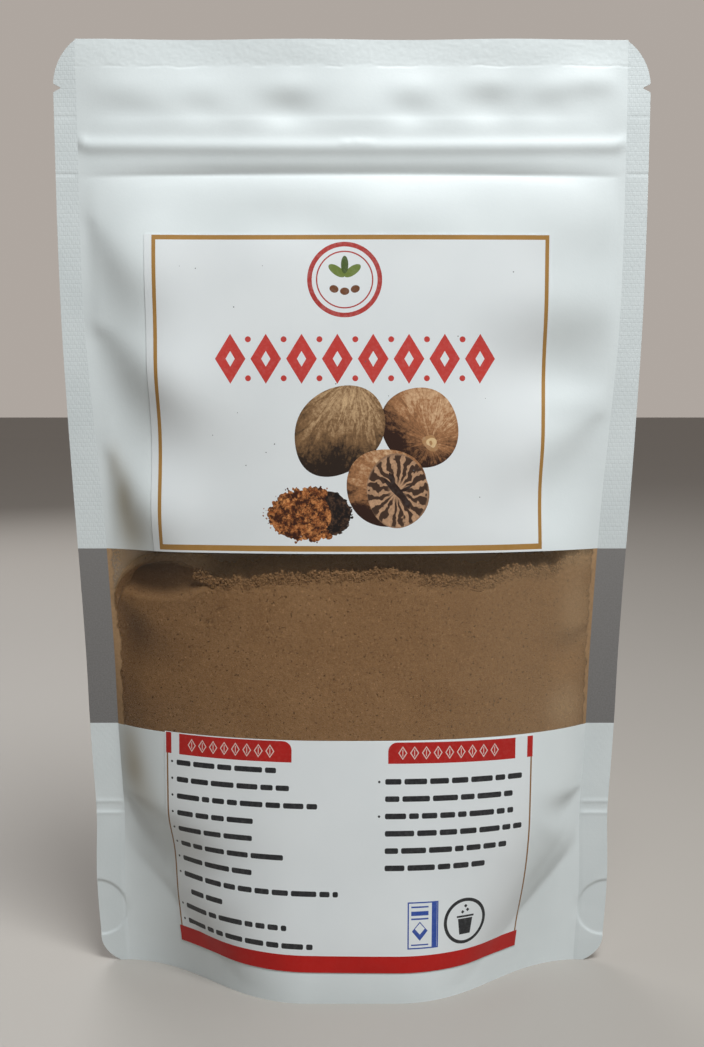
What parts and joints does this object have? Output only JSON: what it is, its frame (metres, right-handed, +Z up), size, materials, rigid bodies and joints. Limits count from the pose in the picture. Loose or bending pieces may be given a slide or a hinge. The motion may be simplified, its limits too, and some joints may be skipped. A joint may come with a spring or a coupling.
{
  "type": "pouch of ground nutmeg",
  "caption": "Shut stand-up pouch of ground nutmeg, with a zip, tear notches, a clear band across the front that shows the powder, and paper stickers above and below it.",
  "frame": {"origin": "on the table, under the middle of the pouch's foot", "axes": "+Z up to the sealed top edge, +X to the right seen from the front, and the front with the clear band faces -Y"},
  "size_m": [0.13, 0.0453, 0.209],
  "materials": {
    "pouch_film": "matte",
    "inner_film": "satin",
    "clear_film": "gloss",
    "ground_nutmeg": "matte",
    "label_paper": "satin",
    "label_print": "satin"
  },
  "bodies": {
    "root": {"pouch": "pouch_film", "label_upper": "label_paper", "label_lower": "label_paper"}
  },
  "joints": []
}
